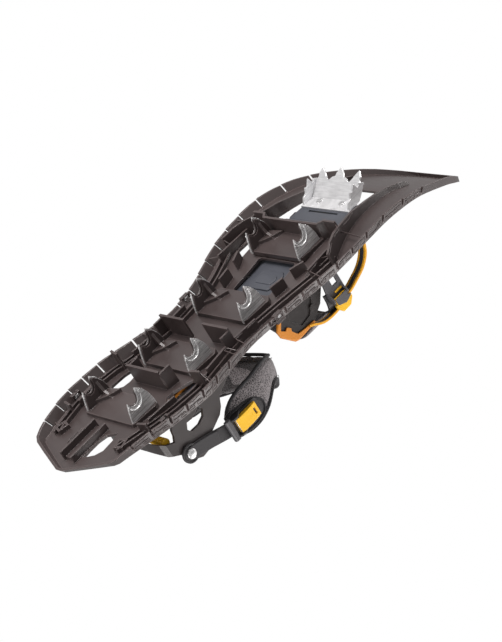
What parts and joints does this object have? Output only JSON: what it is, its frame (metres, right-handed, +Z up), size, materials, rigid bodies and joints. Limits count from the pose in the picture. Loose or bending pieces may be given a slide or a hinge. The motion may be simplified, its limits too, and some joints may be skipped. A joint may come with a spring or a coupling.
{
  "type": "snowshoe",
  "caption": "Moulded snowshoe for the left foot, with an upturned nose, steel claws under the deck and a hinged binding with toe cage, heel cup, ankle strap and heel lift.",
  "frame": {"origin": "on the floor, under the centre of the shoe's box", "axes": "+X towards the upturned nose, +Y to the wearer's left, +Z up"},
  "size_m": [0.579, 0.2182, 0.1494],
  "materials": {
    "deck_plastic": "satin moulded nylon, warm dark grey",
    "plate_plastic": "satin moulded nylon, blue grey",
    "binding_plastic": "satin",
    "buckle_plastic": "satin",
    "yellow_plastic": "gloss",
    "orange_elastomer": "satin",
    "strap_elastomer": "satin",
    "webbing": "woven",
    "cuff_fabric": "padded mesh",
    "claw_steel": "pressed steel",
    "crampon_steel": "bright zinc",
    "pin_steel": "satin"
  },
  "bodies": {
    "deck": {"deck_frame": "deck_plastic", "claw_1_front_left": "claw_steel", "claw_1_front_right": "claw_steel", "claw_2_left": "claw_steel", "claw_2_right": "claw_steel", "claw_3_left": "claw_steel", "claw_3_right": "claw_steel", "claw_4_rear_left": "claw_steel", "claw_4_rear_right": "claw_steel", "rail_pins": "pin_steel", "toe_axle": "pin_steel", "axle_spacers": "binding_plastic"},
    "binding": {"foot_plate": "plate_plastic", "front_crampon": "crampon_steel", "crampon_rivets": "pin_steel", "toe_wing_left": "binding_plastic", "toe_wing_right": "binding_plastic", "toe_trim_left": "orange_elastomer", "toe_trim_right": "orange_elastomer", "wing_screws": "pin_steel", "instep_strap": "strap_elastomer", "toe_strap_left": "webbing", "toe_strap_right": "webbing", "ratchet_base": "buckle_plastic"},
    "toe_ratchet": {"ratchet_lever": "yellow_plastic"},
    "heel_carriage": {"heel_slide": "plate_plastic", "heel_cup": "binding_plastic", "cup_rivets": "pin_steel", "heel_pad": "orange_elastomer", "strap_rivets": "pin_steel"},
    "size_lock": {"size_latch": "yellow_plastic"},
    "ankle_strap": {"ankle_cuff": "cuff_fabric", "ankle_web_left": "webbing", "ankle_web_right": "webbing", "ankle_buckle_base": "buckle_plastic"},
    "ankle_buckle": {"ankle_buckle_lever": "yellow_plastic"},
    "heel_lift": {"heel_lift_wire": "pin_steel", "heel_lift_grip": "yellow_plastic"}
  },
  "joints": [
    {"name": "binding_pivot", "type": "hinge", "parent": "deck", "child": "binding", "pos_m": [0.098, 0, 0.038], "axis": [0, 1, 0], "range_deg": [0, 70]},
    {"name": "toe_ratchet_release", "type": "hinge", "parent": "binding", "child": "toe_ratchet", "pos_m": [0.0535, 0.0584, 0.086], "axis": [-1, 0, 0], "range_deg": [0, 75]},
    {"name": "heel_length_slide", "type": "slide", "parent": "binding", "child": "heel_carriage", "axis": [1, 0, 0], "range_m": [-0.035, 0]},
    {"name": "size_latch_lift", "type": "hinge", "parent": "heel_carriage", "child": "size_lock", "pos_m": [-0.09, 0, 0.0564], "axis": [0, -1, 0], "range_deg": [0, 70]},
    {"name": "ankle_strap_swing", "type": "hinge", "parent": "heel_carriage", "child": "ankle_strap", "pos_m": [-0.183, 0, 0.094], "axis": [0, -1, 0], "range_deg": [-8, 60]},
    {"name": "ankle_buckle_release", "type": "hinge", "parent": "ankle_strap", "child": "ankle_buckle", "pos_m": [-0.1245, 0.059, 0.108], "axis": [0, 0, 1], "range_deg": [0, 80]},
    {"name": "heel_lift_fold", "type": "hinge", "parent": "deck", "child": "heel_lift", "pos_m": [-0.198, 0, 0.0416], "axis": [0, 1, 0], "range_deg": [0, 74]}
  ]
}
